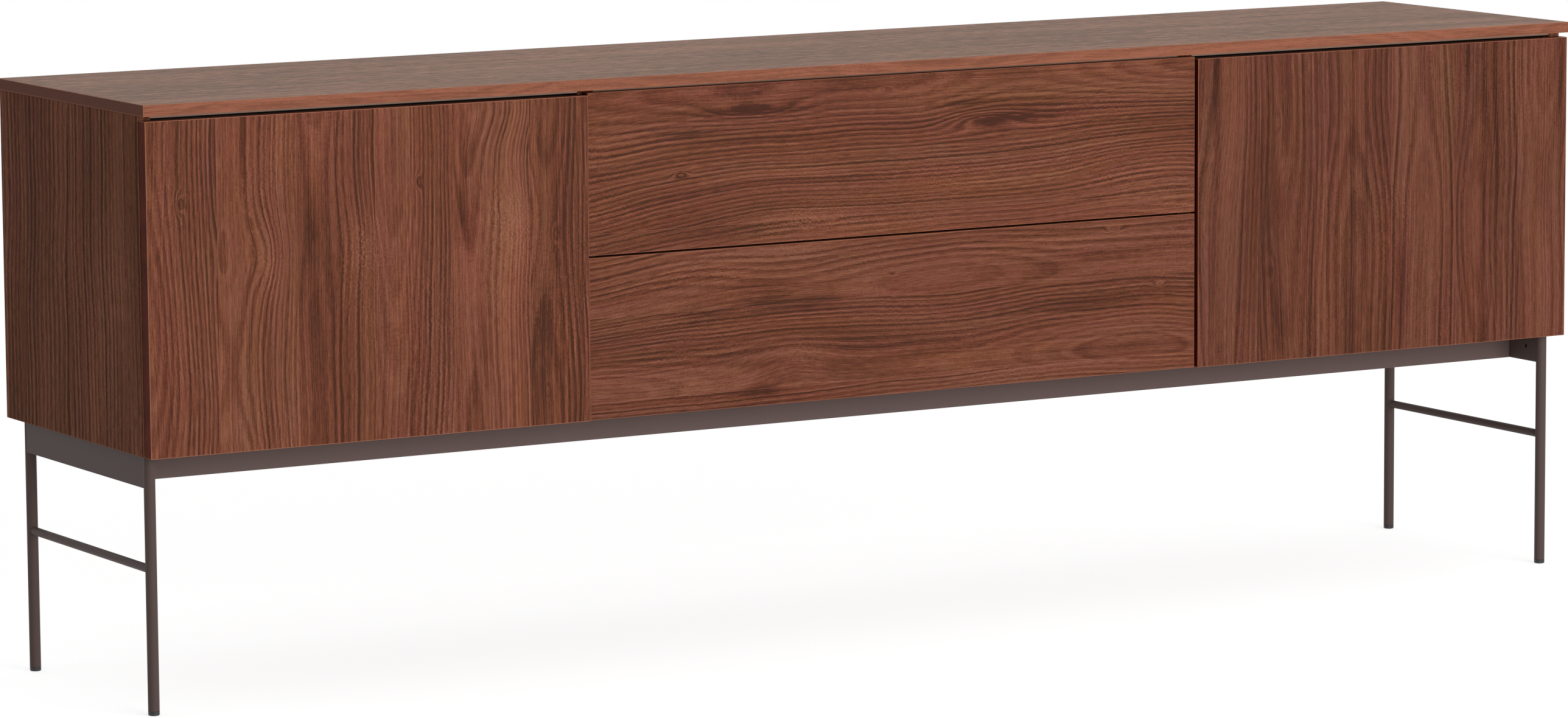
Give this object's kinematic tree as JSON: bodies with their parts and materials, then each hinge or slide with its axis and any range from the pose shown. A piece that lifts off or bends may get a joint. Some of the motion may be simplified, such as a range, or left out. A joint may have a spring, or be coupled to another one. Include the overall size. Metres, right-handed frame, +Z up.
{
  "type": "low sideboard",
  "caption": "Long low sideboard with wide doors at its ends, drawers between them, a thin flat top and a slim tube base with cross bars.",
  "frame": {"origin": "on the floor, under the middle of the top panel", "axes": "+X along the length to the right as seen from the front, +Y from the front to the back, +Z up"},
  "size_m": [2.4, 0.49, 0.846],
  "materials": {
    "walnut_veneer": "satin clear lacquer over reddish-brown walnut veneer",
    "taupe_lacquer": "matt grey-brown lacquered board",
    "base_paint": "fine matt bronze-brown powder coat",
    "zinc_plate": "zinc plated",
    "glide_plastic": "matt black",
    "latch_plastic": "matt grey"
  },
  "bodies": {
    "cabinet": {"top_panel": "walnut_veneer", "side_panel_left": "walnut_veneer", "side_panel_right": "walnut_veneer", "divider_left": "walnut_veneer", "divider_right": "walnut_veneer", "bottom_panel": "walnut_veneer", "back_panel": "walnut_veneer", "shelf_left": "walnut_veneer", "shelf_right": "walnut_veneer", "top_rail_left": "taupe_lacquer", "top_rail_centre": "taupe_lacquer", "top_rail_right": "taupe_lacquer", "side_frame_left": "base_paint", "side_frame_right": "base_paint", "base_rail_front": "base_paint", "base_rail_back": "base_paint", "shelf_angle_left_outer": "zinc_plate", "shelf_angle_left_inner": "zinc_plate", "shelf_angle_right_outer": "zinc_plate", "shelf_angle_right_inner": "zinc_plate", "hinge_arm_left_lower": "zinc_plate", "hinge_arm_left_upper": "zinc_plate", "hinge_arm_right_lower": "zinc_plate", "hinge_arm_right_upper": "zinc_plate", "runner_cabinet_lower_left": "zinc_plate", "runner_cabinet_lower_right": "zinc_plate", "runner_cabinet_upper_left": "zinc_plate", "runner_cabinet_upper_right": "zinc_plate", "glide_front_left": "glide_plastic", "glide_back_left": "glide_plastic", "glide_front_right": "glide_plastic", "glide_back_right": "glide_plastic", "push_latch_left": "latch_plastic", "push_latch_right": "latch_plastic"},
    "left_door": {"door_left": "walnut_veneer", "hinge_cup_left_lower": "zinc_plate", "hinge_cup_left_upper": "zinc_plate"},
    "right_door": {"door_right": "walnut_veneer", "hinge_cup_right_lower": "zinc_plate", "hinge_cup_right_upper": "zinc_plate"},
    "upper_drawer": {"upper_drawer_front": "walnut_veneer", "upper_drawer_side_left": "taupe_lacquer", "upper_drawer_side_right": "taupe_lacquer", "upper_drawer_back": "taupe_lacquer", "upper_drawer_bottom": "taupe_lacquer", "runner_drawer_upper_left": "zinc_plate", "runner_drawer_upper_right": "zinc_plate"},
    "lower_drawer": {"lower_drawer_front": "walnut_veneer", "lower_drawer_side_left": "taupe_lacquer", "lower_drawer_side_right": "taupe_lacquer", "lower_drawer_back": "taupe_lacquer", "lower_drawer_bottom": "taupe_lacquer", "runner_drawer_lower_left": "zinc_plate", "runner_drawer_lower_right": "zinc_plate"},
    "upper_left_carriage": {"runner_middle_upper_left": "zinc_plate"},
    "upper_right_carriage": {"runner_middle_upper_right": "zinc_plate"},
    "lower_left_carriage": {"runner_middle_lower_left": "zinc_plate"},
    "lower_right_carriage": {"runner_middle_lower_right": "zinc_plate"},
    "left_plunger": {"push_plunger_left": "latch_plastic"},
    "right_plunger": {"push_plunger_right": "latch_plastic"}
  },
  "joints": [
    {"name": "left_door_hinge", "type": "hinge", "parent": "cabinet", "child": "left_door", "pos_m": [-1.19, -0.234, 0.592], "axis": [0, 0, -1], "range_deg": [0, 95]},
    {"name": "right_door_hinge", "type": "hinge", "parent": "cabinet", "child": "right_door", "pos_m": [1.19, -0.234, 0.592], "axis": [0, 0, 1], "range_deg": [0, 95]},
    {"name": "upper_drawer_slide", "type": "slide", "parent": "cabinet", "child": "upper_drawer", "axis": [0, -1, 0], "range_m": [0, 0.44]},
    {"name": "lower_drawer_slide", "type": "slide", "parent": "cabinet", "child": "lower_drawer", "axis": [0, -1, 0], "range_m": [0, 0.44]},
    {"name": "upper_left_carriage_slide", "type": "slide", "parent": "cabinet", "child": "upper_left_carriage", "axis": [0, -1, 0], "range_m": [0, 0.22]},
    {"name": "upper_right_carriage_slide", "type": "slide", "parent": "cabinet", "child": "upper_right_carriage", "axis": [0, -1, 0], "range_m": [0, 0.22]},
    {"name": "lower_left_carriage_slide", "type": "slide", "parent": "cabinet", "child": "lower_left_carriage", "axis": [0, -1, 0], "range_m": [0, 0.22]},
    {"name": "lower_right_carriage_slide", "type": "slide", "parent": "cabinet", "child": "lower_right_carriage", "axis": [0, -1, 0], "range_m": [0, 0.22]},
    {"name": "left_plunger_press", "type": "slide", "parent": "cabinet", "child": "left_plunger", "axis": [0, 1, 0], "range_m": [0, 0.0025], "stiffness_N_per_m": 400},
    {"name": "right_plunger_press", "type": "slide", "parent": "cabinet", "child": "right_plunger", "axis": [0, 1, 0], "range_m": [0, 0.0025], "stiffness_N_per_m": 400}
  ],
  "couplings": [
    {"joint": "upper_left_carriage_slide", "follows": "upper_drawer_slide", "ratio": 0.5},
    {"joint": "upper_right_carriage_slide", "follows": "upper_drawer_slide", "ratio": 0.5},
    {"joint": "lower_left_carriage_slide", "follows": "lower_drawer_slide", "ratio": 0.5},
    {"joint": "lower_right_carriage_slide", "follows": "lower_drawer_slide", "ratio": 0.5}
  ]
}
